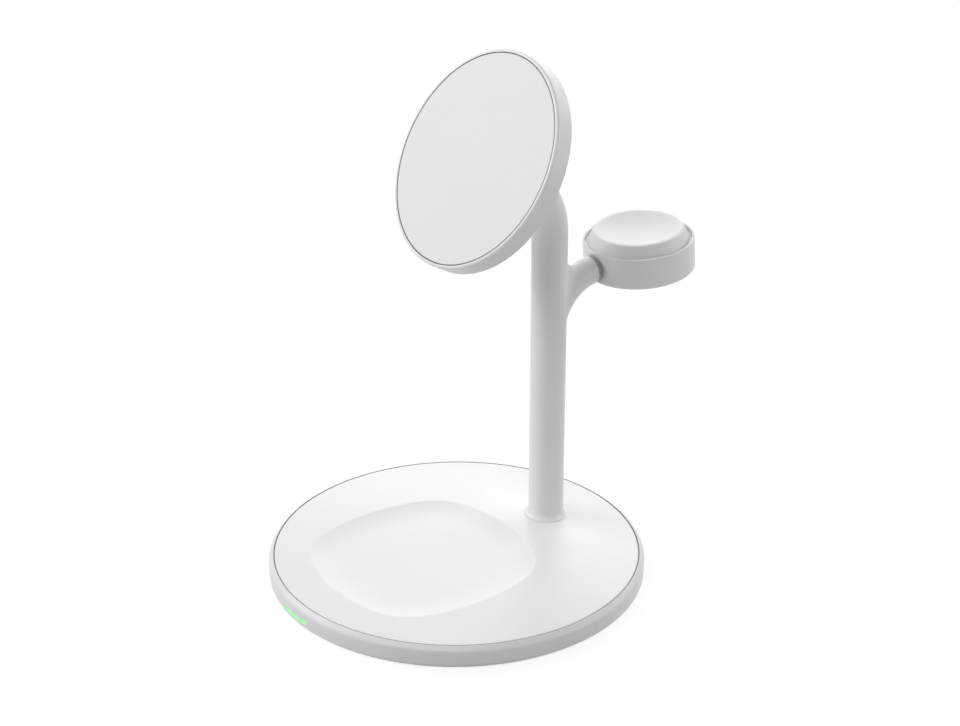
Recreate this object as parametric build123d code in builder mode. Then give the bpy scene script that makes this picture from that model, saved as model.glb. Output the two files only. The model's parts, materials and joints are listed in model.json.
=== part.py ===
from build123d import *
import os
from math import atan2, cos, pi, radians, sin, sqrt, tan

# Three-in-one wireless charger, in millimetres.
# Origin on the table at the centre of the base, +Z up, the front of the base towards -Y.

# Base, a shallow tub with a domed lid
base_r = 53.5
rim_width = 1.5
ledge_width = 2.0
base_bottom_z = 0.4
base_bottom_round = 1.2
inside_height = 4.9
seam_gap = 0.3
shoulder_run = 1.2
shoulder_drop = 1.25
shoulder_round = 1.0
floor_wall = 1.0
lid_edge = 1.0
spigot_clearance = 0.15

# Lid and the recess for the earbud case
dome_rise = 1.5
lid_wall = 1.5
lid_edge_round = 0.25
recess_front_margin = 10.55
recess_back_margin = 7.82
recess_side_r = 56.0
recess_corner_r = 16.0
recess_depth = 1.1
recess_run = 4.8
recess_straight = 0.6
recess_edge_round = 2.0

# Foot pad under the base
foot_margin = 4.0
foot_inset = 0.4
foot_clearance = 0.15
foot_chamfer = 0.3

# Steel ballast plate on the floor of the base
ballast_margin = 1.2
ballast_thick = 2.0
ballast_clearance = 0.4

# Charging coil under the recess
earbud_coil_outer_r = 20.0
earbud_coil_width = 12.0
earbud_coil_thick = 0.9
earbud_ferrite_margin = 2.0
earbud_ferrite_thick = 0.6

# Screws that hold the lid, hidden by the foot pad
lid_screw_inset = 6.0
lid_screw_count = 4
lid_screw_start = 45.0
lid_screw_r = 1.0
lid_screw_head_r = 1.9
lid_screw_head = 0.8
lid_screw_reach = 2.6
lid_boss_r = 2.6
floor_boss_r = 3.0
floor_boss_rise = 1.0
thread_clearance = 0.02
screw_clearance = 0.15

# Main board behind the post
board_post_gap = 0.55
board_half_width = 24.0
board_margin = 1.7
board_thick = 1.0
board_rise = 0.8
board_screw_side_inset = 4.0
board_screw_front_inset = 2.8
board_screw_r = 0.8
board_screw_head_r = 1.6
board_screw_head = 0.6
board_screw_grip = 0.6
board_boss_r = 2.2
component_inset = 3.6
chip_screw_gap = 7.0
chip_width = 6.0
chip_thick = 0.8
choke_screw_gap = 6.5
choke_width = 4.0
choke_corner_r = 0.8
choke_thick = 0.8
capacitor_screw_gap = 12.0
capacitor_length = 1.6
capacitor_width = 0.6

# Power inlet, a flat socket with round ends, at the back of the rim
inlet_width = 8.94
inlet_height = 3.26
inlet_wall = 0.3
inlet_depth = 7.3
inlet_set_back = 0.7
inlet_z = 3.8
inlet_clearance = 0.1
tongue_width = 6.7
tongue_thick = 0.7
tongue_length = 4.6
tongue_block = 1.7
tongue_clearance = 0.02

# Light at the front of the rim
light_length = 11.2
light_height = 1.1
light_z = 2.6
light_x = -0.8
light_inset = 0.15
light_clearance = 0.05
led_board_margin = 2.0
led_board_thick = 0.8
led_board_height = 2.4
led_board_clearance = 0.15
led_width = 0.8
led_thick = 0.4
led_pitch = 3.6
led_count = 3

# Post with its flared foot
post_inset = 21.68
post_r = 5.1
post_bore_r = 2.9
flare_r = 6.3
flare_rise = 2.4
flare_edge = 0.2
flare_step = 0.02
flare_clearance = 0.02
tenon_r = 3.9
tenon_clearance = 0.1
nut_seat_r = 9.0
nut_thick = 1.4
nut_across_flats = 12.0
nut_sides = 6

# Neck, bent forwards to the phone pad
neck_bend_z = 95.6
neck_bend_r = 20.8
neck_straight = 0.75
neck_end_round = 0.6
neck_bore_stop_angle = 6.0
pad_lean = 30.23

# Arm, branching off the back of the post
arm_r = 4.0
arm_bore_r = 1.9
arm_root_z = 65.15
arm_root_offset = 0.83
arm_bend_r = 16.0
arm_crotch_round = 4.0
arm_end_round = 0.4
arm_trim = 0.65
watch_lean = 4.73

# Phone pad
pad_r = 30.5
pad_thick = 5.55
pad_rim = 1.07
pad_wall = 2.3
pad_gap = 0.3
pad_face_thick = 1.0
pad_front_round = 0.6
pad_back_round = 0.5
pad_floor = 1.4
face_edge_round = 0.2

# Magnet ring, coil and board inside the phone pad
magnet_width = 4.6
magnet_thick = 1.2
magnet_count = 16
magnet_gap = 0.6
yoke_thick = 0.5
ring_clearance = 0.4
phone_coil_margin = 1.7
phone_coil_width = 12.5
phone_coil_thick = 0.9
phone_ferrite_margin = 1.2
phone_ferrite_thick = 0.7
pad_board_width = 14.0
pad_board_length = 6.0
pad_board_thick = 0.8
pad_board_gap = 0.5

# Tilt hinge behind the phone pad
bracket_r = 10.0
bracket_plate = 2.0
bracket_round = 0.6
lug_r = 4.6
lug_root_half = 6.5
lug_thick = 2.4
lug_overlap = 0.5
tilt_tongue_r = 4.2
tilt_tongue_thick = 4.0
tilt_tongue_gap = 0.5
tilt_tongue_sink = 0.6
hinge_side_gap = 0.3
hinge_shoulder_gap = 0.4
tilt_pin_r = 1.5
pin_clearance = 0.03
pin_press_clearance = 0.01
washer_r = 3.9
washer_thick = 0.25
bracket_screw_inset = 2.6
bracket_screw_count = 4
bracket_screw_start = 45.0
bracket_screw_r = 1.0
bracket_screw_head_r = 1.8
bracket_screw_head = 0.8
bracket_screw_grip = 1.5
wire_hole_r = 1.3
wire_hole_y = 6.6

# Watch cup and its dished cap
cup_r = 16.0
cup_height = 9.14
cup_wall = 1.5
cup_floor = 1.2
cup_bottom_round = 0.6
cup_lip = 0.7
cup_lip_round = 0.15
cap_depth = 1.25
cap_flange = 0.5
cap_clearance = 0.1
cap_groove = 0.7
cap_taper = 1.7
cap_crest = 1.3
cap_rise = 3.02
cap_crest_round = 0.8
dish_depth = 1.6
dish_edge_round = 3.0
cap_wall = 1.1
cap_side_wall = 1.5

# Coil, magnet and board inside the watch cup
watch_coil_margin = 1.1
watch_coil_gap = 0.6
watch_coil_thick = 0.8
watch_ferrite_margin = 0.5
watch_ferrite_thick = 0.6
watch_magnet_r = 3.6
watch_magnet_clearance = 0.1
watch_board_width = 14.0
watch_board_length = 13.0
watch_board_thick = 0.8
watch_board_y = 2.5

# Swivel between the arm and the watch cup
swivel_collar_r = 3.8
swivel_collar_thick = 1.0
swivel_gap = 0.3
cup_boss_proud = 0.05
cup_boss_r = 2.6
cup_boss_depth = 4.8
pivot_r = 1.9
pivot_bore_r = 1.1
pivot_seat = 2.6
pivot_tail = 0.3
pivot_clearance = 0.05
pivot_press_clearance = 0.01
swivel_washer_r = 2.5
swivel_washer_thick = 0.4
swivel_clip_r = 2.6
swivel_clip_thick = 0.7
swivel_play = 0.05

# Leads inside the post and the arm
pad_lead_r = 0.8
watch_lead_r = 0.7
lead_clearance = 0.3
lead_floor_gap = 0.5
pad_lead_stop_angle = 4.0

# Heights and radii of the base, worked out from the table upwards
foot_top_z = base_bottom_z + foot_inset
base_floor_z = foot_top_z + floor_wall
seam_z = base_floor_z + inside_height
seam_r = base_r - rim_width
wall_inner_r = seam_r - ledge_width
foot_r = base_r - foot_margin
ballast_r = wall_inner_r - ballast_margin
lid_screw_ring_r = wall_inner_r - lid_screw_inset
board_r = wall_inner_r - board_margin
post_y = base_r - post_inset
ledge_z = seam_z - lid_edge
lid_r = seam_r - seam_gap / 2
rim_inner_r = seam_r + seam_gap / 2
lid_top_z = seam_z + dome_rise
dome_r = (lid_r**2 + dome_rise**2) / (2 * dome_rise)


def dome_z(radius, depth=0.0):
    """Height of the lid's top, or of a surface a depth below it, at a radius from the base axis."""
    return lid_top_z - dome_r + sqrt((dome_r - depth) ** 2 - radius**2)


recess_back_y = post_y - flare_r - recess_back_margin
recess_half = (lid_r - recess_front_margin + recess_back_y) / 2
recess_y = recess_back_y - recess_half
recess_bulge = dome_r - sqrt(dome_r**2 - recess_half**2)
recess_sink = recess_bulge + recess_depth
recess_wall = sqrt(recess_run**2 + recess_depth**2)
recess_slope = atan2(recess_depth, recess_run)
recess_floor_round = (recess_wall - recess_straight) / tan(recess_slope / 2)
recess_floor_z = dome_z(abs(recess_y)) - recess_sink
lid_middle = lid_wall / 2
pan_z = recess_floor_z - lid_wall
pan_front_r = abs(recess_y) + recess_half + lid_wall
pan_top_z = (dome_z(pan_front_r) + dome_z(0, lid_wall)) / 2
earbud_coil_inner_r = earbud_coil_outer_r - earbud_coil_width
earbud_ferrite_r = earbud_coil_outer_r + earbud_ferrite_margin
earbud_coil_z = pan_z - earbud_coil_thick
earbud_ferrite_z = earbud_coil_z - earbud_ferrite_thick
floor_boss_z = base_floor_z + floor_boss_rise
lid_screw_seat_z = foot_top_z + lid_screw_head + foot_clearance
lid_screw_top_z = floor_boss_z + lid_screw_reach
board_z = base_floor_z + board_rise
board_top_z = board_z + board_thick
inlet_front_y = base_r - inlet_set_back
inlet_back_y = inlet_front_y - inlet_depth
inlet_room_y = inlet_back_y - inlet_clearance
inlet_room_width = inlet_width + 2 * inlet_clearance
inlet_room_height = inlet_height + 2 * inlet_clearance
led_board_half = light_length / 2 + led_board_margin
led_board_front_y = led_board_clearance - sqrt(wall_inner_r**2 - led_board_half**2)
led_board_back_y = led_board_front_y + led_board_thick

# Recess and foot of the post, both square to the dome of the lid, and the nut under the post
dome_centre = Vector(0, 0, lid_top_z - dome_r)
recess_top = Vector(0, recess_y, dome_z(abs(recess_y)))
recess_normal = (recess_top - dome_centre).normalized()
recess_plane = Plane(recess_top, x_dir=(1, 0, 0), z_dir=recess_normal)
flare_top = Vector(0, post_y, dome_z(post_y) + flare_edge + flare_rise)
flare_normal = (flare_top - dome_centre).normalized()
flare_plane = Plane(flare_top, x_dir=(1, 0, 0), z_dir=flare_normal)
post_start_z = dome_z(post_y - post_r) + flare_edge
nut_top_z = dome_z(post_y + nut_seat_r, lid_wall)
nut_bottom_z = nut_top_z - nut_thick
nut_corner_r = nut_across_flats / 2 / cos(pi / nut_sides)
board_front_y = post_y + nut_across_flats / 2 + board_post_gap
board_screw_x = board_half_width - board_screw_side_inset
board_screw_y = board_front_y + board_screw_front_inset
component_y = board_front_y + component_inset
chip_x = chip_screw_gap - board_screw_x
choke_x = board_screw_x - choke_screw_gap
capacitor_x = board_screw_x - capacitor_screw_gap
lead_bottom_z = base_floor_z + lead_floor_gap

# The neck's last run points along the pad's normal, through the tilt hinge
neck_bend_angle = 90.0 - pad_lean
pad_normal = Vector(0, -cos(radians(pad_lean)), sin(radians(pad_lean)))
neck_end_y = post_y - neck_bend_r * (1 - cos(radians(neck_bend_angle)))
neck_end_z = neck_bend_z + neck_bend_r * sin(radians(neck_bend_angle))
neck_end = Vector(0, neck_end_y, neck_end_z)
shoulder_point = neck_end + pad_normal * neck_straight
hinge_point = shoulder_point + pad_normal * (hinge_shoulder_gap + lug_r)
hinge_to_plate = tilt_tongue_r + tilt_tongue_gap
pad_back_point = hinge_point + pad_normal * (hinge_to_plate + bracket_plate)
pad_plane = Plane(pad_back_point + pad_normal * pad_thick, x_dir=(1, 0, 0), z_dir=pad_normal)
hinge_plane = Plane(hinge_point, x_dir=pad_normal, z_dir=(1, 0, 0))
lug_inner_x = tilt_tongue_thick / 2 + hinge_side_gap

# Depths inside the phone pad, measured along its axis from the face
magnet_z = -pad_face_thick - magnet_thick
yoke_z = magnet_z - yoke_thick
phone_coil_z = -pad_face_thick - phone_coil_thick
pad_floor_z = pad_floor - pad_thick
pad_seam_r = pad_r - pad_rim
face_r = pad_seam_r - pad_gap / 2
pad_rim_inner_r = pad_seam_r + pad_gap / 2
ring_wall_r = pad_r - pad_wall
magnet_outer_r = ring_wall_r - ring_clearance
magnet_inner_r = magnet_outer_r - magnet_width
pocket_r = magnet_inner_r - ring_clearance
phone_coil_outer_r = magnet_inner_r - phone_coil_margin
phone_coil_inner_r = phone_coil_outer_r - phone_coil_width
phone_ferrite_r = magnet_inner_r - phone_ferrite_margin
pad_board_y = -(bracket_r + pad_board_gap + pad_board_length / 2)
bracket_screw_ring_r = bracket_r - bracket_screw_inset

# The arm is trimmed square to the watch cup's wall, and its line passes through the middle of the cup
arm_bend_angle = 90.0 - watch_lean
arm_root_y = post_y + arm_root_offset
arm_direction = Vector(0, cos(radians(watch_lean)), sin(radians(watch_lean)))
watch_axis = Vector(0, -sin(radians(watch_lean)), cos(radians(watch_lean)))
arm_end_y = arm_root_y + arm_bend_r * (1 - cos(radians(arm_bend_angle)))
arm_end_z = arm_root_z + arm_bend_r * sin(radians(arm_bend_angle))
arm_end = Vector(0, arm_end_y, arm_end_z)
arm_to_cup = cup_r + cup_boss_proud + swivel_gap + swivel_collar_thick - arm_trim
cup_middle = arm_end + arm_direction * arm_to_cup
watch_plane = Plane(cup_middle + watch_axis * (cup_height / 2), x_dir=(1, 0, 0), z_dir=watch_axis)
swivel_plane = Plane(cup_middle, x_dir=(1, 0, 0), z_dir=arm_direction)

# Depths inside the watch cup, measured along its axis from the lip
cup_inner_r = cup_r - cup_wall
cup_mouth_r = cup_r - cup_lip
cup_floor_z = cup_floor - cup_height
cap_cone_base_r = cup_mouth_r - cap_groove
cap_cone_top_r = cap_cone_base_r - cap_taper
cap_cavity_r = cap_cone_top_r - cap_side_wall
dish_r = cap_cone_top_r - cap_crest
dish_bottom_z = cap_rise - dish_depth
dish_curve_r = (dish_r**2 + dish_depth**2) / (2 * dish_depth)
cap_roof_z = dish_bottom_z - cap_wall
watch_coil_outer_r = cap_cavity_r - watch_coil_margin
watch_coil_inner_r = watch_magnet_r + watch_coil_gap
watch_ferrite_r = cap_cavity_r - watch_ferrite_margin
watch_coil_z = cap_roof_z - watch_coil_thick
watch_ferrite_z = watch_coil_z - watch_ferrite_thick
boss_outer_end = -(cup_r + cup_boss_proud)
collar_start = boss_outer_end - swivel_gap - swivel_collar_thick
boss_inner_end = boss_outer_end + cup_boss_depth
washer_end = boss_inner_end + swivel_play + swivel_washer_thick
clip_end = washer_end + swivel_play + swivel_clip_thick
pivot_start = collar_start - pivot_seat
pivot_end = clip_end + pivot_tail


def section_of(plane):
    """The plane through a turned piece's axis, with radius along its x and height along its y."""
    return Plane(plane.origin, x_dir=plane.x_dir, z_dir=-plane.y_dir)


def axis_of(plane):
    """The axis of a turned piece that stands on a plane."""
    return Axis(plane.origin, plane.z_dir)


def write_piece(piece, name):
    """Label a finished piece and write its file."""
    piece.part.label = name
    export_step(piece.part, f"parts/{name}.step")


def rounded_square(grow):
    """The recess outline, a square with bowed sides and round corners, grown all round."""
    side_r = recess_side_r + grow
    bow = recess_side_r - recess_half
    with Locations((0, -bow)):
        Circle(side_r)
    for spot in ((0, bow), (bow, 0), (-bow, 0)):
        with Locations(spot):
            Circle(side_r, mode=Mode.INTERSECT)


def ring(outer_r, inner_r):
    """A flat ring in the sketch that is open."""
    Circle(outer_r)
    Circle(inner_r, mode=Mode.SUBTRACT)


def neck_line(start_z, bend_angle):
    """The centre line of the post and the neck, up to a bend angle, on the line that is open."""
    rise = Line((post_y, start_z), (post_y, neck_bend_z))
    return JernArc(rise @ 1, rise % 1, neck_bend_r, bend_angle)


def arm_line():
    """The centre line of the arm, on the line that is open."""
    return JernArc((arm_root_y, arm_root_z), (0, 1), arm_bend_r, -arm_bend_angle)


os.makedirs("parts", exist_ok=True)

# Foot pad, a flat silicone disc let into the underside
with BuildPart() as foot_pad:
    with BuildSketch():
        Circle(foot_r)
    extrude(amount=foot_top_z)
    chamfer(foot_pad.edges().group_by(Axis.Z)[0], foot_chamfer)
write_piece(foot_pad, "foot_pad")

# Base housing, a tub with a rounded shoulder, a ledge for the lid and bosses on its floor
with BuildPart() as base_housing:
    with BuildSketch(Plane.XZ) as tub_profile:
        with BuildLine():
            Polyline(
                (base_r, seam_z - shoulder_drop),
                (base_r - shoulder_run, seam_z),
                (rim_inner_r, seam_z),
                (rim_inner_r, ledge_z),
                (wall_inner_r, ledge_z),
                (wall_inner_r, base_floor_z),
                (0, base_floor_z),
                (0, foot_top_z),
                (foot_r + foot_clearance, foot_top_z),
                (foot_r + foot_clearance, base_bottom_z),
                (base_r, base_bottom_z),
                close=True,
            )
        make_face()
        fillet(tub_profile.vertices().group_by(Axis.X)[-1].sort_by(Axis.Y)[-1], shoulder_round)
        fillet(tub_profile.vertices().group_by(Axis.Y)[0].sort_by(Axis.X)[-1], base_bottom_round)
    revolve(axis=Axis.Z)
    with BuildSketch(Plane.XY.offset(base_floor_z)):
        with Locations((0, recess_y)):
            ring(earbud_coil_outer_r, earbud_coil_inner_r)
    extrude(amount=earbud_ferrite_z - base_floor_z)
    with BuildSketch(Plane.XY.offset(base_floor_z)):
        with Locations((-board_screw_x, board_screw_y), (board_screw_x, board_screw_y)):
            ring(board_boss_r, board_screw_r + thread_clearance)
    extrude(amount=board_rise)
    with BuildSketch(Plane.XY.offset(base_floor_z)):
        with PolarLocations(lid_screw_ring_r, lid_screw_count, start_angle=lid_screw_start):
            Circle(floor_boss_r)
    extrude(amount=floor_boss_rise)
    with BuildSketch(Plane.XY.offset(foot_top_z)):
        with PolarLocations(lid_screw_ring_r, lid_screw_count, start_angle=lid_screw_start):
            Circle(lid_screw_r + screw_clearance)
    extrude(amount=floor_boss_z - foot_top_z, mode=Mode.SUBTRACT)
    with BuildSketch(Plane.XY.offset(foot_top_z)):
        with PolarLocations(lid_screw_ring_r, lid_screw_count, start_angle=lid_screw_start):
            Circle(lid_screw_head_r + screw_clearance)
    extrude(amount=lid_screw_seat_z - foot_top_z, mode=Mode.SUBTRACT)
    with BuildSketch(Plane.XZ.offset(-inlet_room_y)):
        with Locations((0, inlet_z)):
            SlotOverall(inlet_room_width, inlet_room_height)
    extrude(amount=-(base_r - inlet_room_y + inlet_clearance), mode=Mode.SUBTRACT)
    with BuildSketch(Plane.XZ.offset(-led_board_front_y)):
        with Locations((light_x, light_z)):
            SlotOverall(light_length + 2 * light_clearance, light_height + 2 * light_clearance)
    extrude(amount=base_r + led_board_front_y + light_clearance, mode=Mode.SUBTRACT)
write_piece(base_housing, "base_housing")

# Light pipe, a slim bar that follows the curve of the rim
with BuildPart() as led_light_pipe:
    with BuildSketch(Plane.XZ.offset(-led_board_front_y)):
        with Locations((light_x, light_z)):
            SlotOverall(light_length, light_height)
    extrude(amount=base_r + led_board_front_y)
    with BuildSketch(Plane.XY):
        ring(base_r - light_inset, wall_inner_r)
    extrude(amount=seam_z, mode=Mode.INTERSECT)
write_piece(led_light_pipe, "led_light_pipe")

# Board for the light, standing on the floor behind the pipe
with BuildPart() as led_board:
    with BuildSketch(Plane.XZ.offset(-led_board_back_y)):
        with Locations((0, base_floor_z + led_board_height / 2)):
            Rectangle(2 * led_board_half, led_board_height)
    extrude(amount=led_board_thick)
write_piece(led_board, "led_board")

# Light-emitting chips on that board
with BuildPart() as led_chips:
    with BuildSketch(Plane.XZ.offset(-led_board_front_y)):
        with Locations((light_x, light_z)):
            with GridLocations(led_pitch, 0, led_count, 1):
                Rectangle(led_width, led_width)
    extrude(amount=led_thick)
write_piece(led_chips, "led_chips")

# Ballast plate, cut away round the coil, the leads, the boards and the bosses
with BuildPart() as ballast_plate:
    with BuildSketch(Plane.XY.offset(base_floor_z)):
        Circle(ballast_r)
        with Locations((0, recess_y)):
            Circle(earbud_ferrite_r + ballast_clearance, mode=Mode.SUBTRACT)
        with Locations((0, post_y)):
            Circle(nut_corner_r + ballast_clearance, mode=Mode.SUBTRACT)
        with PolarLocations(lid_screw_ring_r, lid_screw_count, start_angle=lid_screw_start):
            Circle(floor_boss_r + ballast_clearance, mode=Mode.SUBTRACT)
        with Locations((0, board_front_y - ballast_clearance)):
            board_window = 2 * (board_half_width + ballast_clearance)
            Rectangle(board_window, ballast_r, align=(Align.CENTER, Align.MIN), mode=Mode.SUBTRACT)
        with Locations((0, led_board_back_y + ballast_clearance)):
            led_window = 2 * (led_board_half + ballast_clearance)
            Rectangle(led_window, ballast_r, align=(Align.CENTER, Align.MAX), mode=Mode.SUBTRACT)
    extrude(amount=ballast_thick)
write_piece(ballast_plate, "ballast_plate")

# Ferrite sheet and flat coil under the recess
with BuildPart() as earbud_ferrite:
    with BuildSketch(Plane.XY.offset(earbud_ferrite_z)):
        with Locations((0, recess_y)):
            Circle(earbud_ferrite_r)
    extrude(amount=earbud_ferrite_thick)
write_piece(earbud_ferrite, "earbud_ferrite")

with BuildPart() as earbud_coil:
    with BuildSketch(Plane.XY.offset(earbud_coil_z)):
        with Locations((0, recess_y)):
            ring(earbud_coil_outer_r, earbud_coil_inner_r)
    extrude(amount=earbud_coil_thick)
write_piece(earbud_coil, "earbud_coil")

# Main board, with a notch for the power inlet
with BuildPart() as main_board:
    with BuildSketch(Plane.XY.offset(board_z)):
        Circle(board_r)
        with Locations((0, board_front_y)):
            Rectangle(2 * board_half_width, board_r, align=(Align.CENTER, Align.MIN), mode=Mode.INTERSECT)
        with Locations((0, inlet_room_y)):
            Rectangle(inlet_room_width, board_r, align=(Align.CENTER, Align.MIN), mode=Mode.SUBTRACT)
        with Locations((-board_screw_x, board_screw_y), (board_screw_x, board_screw_y)):
            Circle(board_screw_r + screw_clearance, mode=Mode.SUBTRACT)
    extrude(amount=board_thick)
write_piece(main_board, "main_board")

# Chip, choke and capacitors on the main board
with BuildPart() as board_components:
    with BuildSketch(Plane.XY.offset(board_top_z)):
        with Locations((chip_x, component_y)):
            Rectangle(chip_width, chip_width)
    extrude(amount=chip_thick)
    with BuildSketch(Plane.XY.offset(board_top_z)):
        with Locations((choke_x, component_y)):
            RectangleRounded(choke_width, choke_width, choke_corner_r)
    extrude(amount=choke_thick)
    with BuildSketch(Plane.XY.offset(board_top_z)):
        with Locations((-capacitor_x, component_y), (capacitor_x, component_y)):
            Rectangle(capacitor_length, capacitor_width)
    extrude(amount=capacitor_width)
write_piece(board_components, "board_components")

# Screws that hold the main board on its bosses
with BuildPart() as board_screws:
    with BuildSketch(Plane.XY.offset(board_top_z)):
        with Locations((-board_screw_x, board_screw_y), (board_screw_x, board_screw_y)):
            Circle(board_screw_head_r)
    extrude(amount=board_screw_head)
    with BuildSketch(Plane.XY.offset(board_top_z)):
        with Locations((-board_screw_x, board_screw_y), (board_screw_x, board_screw_y)):
            Circle(board_screw_r)
    extrude(amount=-(board_thick + board_screw_grip))
write_piece(board_screws, "board_screws")

# Shell of the power inlet
with BuildPart() as power_inlet_shell:
    with BuildSketch(Plane.XZ.offset(-inlet_front_y)):
        with Locations((0, inlet_z)):
            SlotOverall(inlet_width, inlet_height)
            SlotOverall(inlet_width - 2 * inlet_wall, inlet_height - 2 * inlet_wall, mode=Mode.SUBTRACT)
    extrude(amount=inlet_depth)
write_piece(power_inlet_shell, "power_inlet_shell")

# Contact tongue of the power inlet, moulded on a block that closes the shell's back
with BuildPart() as power_inlet_tongue:
    with BuildSketch(Plane.XZ.offset(-inlet_back_y)):
        with Locations((0, inlet_z)):
            block_width = inlet_width - 2 * (inlet_wall + tongue_clearance)
            block_height = inlet_height - 2 * (inlet_wall + tongue_clearance)
            SlotOverall(block_width, block_height)
    extrude(amount=-tongue_block)
    with BuildSketch(Plane.XZ.offset(-inlet_back_y)):
        with Locations((0, inlet_z)):
            Rectangle(tongue_width, tongue_thick)
    extrude(amount=-(tongue_block + tongue_length))
write_piece(power_inlet_tongue, "power_inlet_tongue")

# Lid, a thin dome with the recess pressed into it, a spigot inside the wall and bosses below
with BuildPart() as top_cover:
    with BuildSketch(Plane.XZ) as lid_profile:
        with BuildLine():
            spigot_r = wall_inner_r - spigot_clearance
            top = ThreePointArc((lid_r, seam_z), (lid_r / 2, dome_z(lid_r / 2)), (0, lid_top_z))
            under_middle = (spigot_r / 2, dome_z(spigot_r / 2, lid_wall))
            under_end = (spigot_r, dome_z(spigot_r, lid_wall))
            under = ThreePointArc((0, lid_top_z - lid_wall), under_middle, under_end)
            Line(top @ 1, under @ 0)
            Polyline(under @ 1, (spigot_r, ledge_z), (lid_r, ledge_z), top @ 0)
        make_face()
        fillet(lid_profile.vertices().group_by(Axis.X)[-1].sort_by(Axis.Y)[-1], lid_edge_round)
    revolve(axis=Axis.Z)
    with BuildSketch(Plane((0, recess_y, pan_z))) as pan_outline:
        rounded_square(lid_wall)
        fillet(pan_outline.vertices(), recess_corner_r + lid_wall)
    extrude(amount=pan_top_z - pan_z)
    with BuildSketch(recess_plane.offset(-recess_sink)) as recess_bottom:
        rounded_square(-recess_run)
        fillet(recess_bottom.vertices(), recess_corner_r - recess_run)
    recess_grow = recess_run * recess_bulge / recess_depth
    with BuildSketch(recess_plane) as recess_mouth:
        rounded_square(recess_grow)
        fillet(recess_mouth.vertices(), recess_corner_r + recess_grow)
    loft(ruled=True, mode=Mode.SUBTRACT)
    dome_faces = top_cover.faces().filter_by(GeomType.PLANE, reverse=True).sort_by(SortBy.AREA)[-2:]
    fillet(dome_faces.sort_by(Axis.Z)[-1].edges().filter_by(GeomType.BSPLINE), recess_edge_round)
    fillet(top_cover.faces().filter_by(recess_plane)[0].edges(), recess_floor_round)
    with BuildSketch(Plane.XY.offset(nut_top_z)):
        with Locations((0, post_y)):
            Circle(nut_seat_r)
    extrude(amount=dome_z(post_y, lid_middle) - nut_top_z)
    with BuildSketch(Plane.XY.offset(floor_boss_z)):
        with PolarLocations(lid_screw_ring_r, lid_screw_count, start_angle=lid_screw_start):
            Circle(lid_boss_r)
    extrude(amount=dome_z(lid_screw_ring_r, lid_middle) - floor_boss_z)
    with BuildSketch(Plane.XY.offset(floor_boss_z)):
        with PolarLocations(lid_screw_ring_r, lid_screw_count, start_angle=lid_screw_start):
            Circle(lid_screw_r + thread_clearance)
    extrude(amount=lid_screw_reach + screw_clearance, mode=Mode.SUBTRACT)
    with BuildSketch(Plane.XY.offset(inlet_z + inlet_room_height / 2)):
        with Locations((0, inlet_room_y)):
            Rectangle(inlet_room_width, inlet_depth, align=(Align.CENTER, Align.MIN))
    extrude(amount=-inlet_height, mode=Mode.SUBTRACT)
    with BuildSketch(Plane.XY.offset(nut_top_z)):
        with Locations((0, post_y)):
            Circle(tenon_r + tenon_clearance)
    extrude(amount=lid_top_z - nut_top_z, mode=Mode.SUBTRACT)
write_piece(top_cover, "top_cover")

# Screws that hold the lid from below
with BuildPart() as cover_screws:
    with BuildSketch(Plane.XY.offset(lid_screw_seat_z)):
        with PolarLocations(lid_screw_ring_r, lid_screw_count, start_angle=lid_screw_start):
            Circle(lid_screw_head_r)
    extrude(amount=-lid_screw_head)
    with BuildSketch(Plane.XY.offset(lid_screw_seat_z)):
        with PolarLocations(lid_screw_ring_r, lid_screw_count, start_angle=lid_screw_start):
            Circle(lid_screw_r)
    extrude(amount=lid_screw_top_z - lid_screw_seat_z)
write_piece(cover_screws, "cover_screws")

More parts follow.
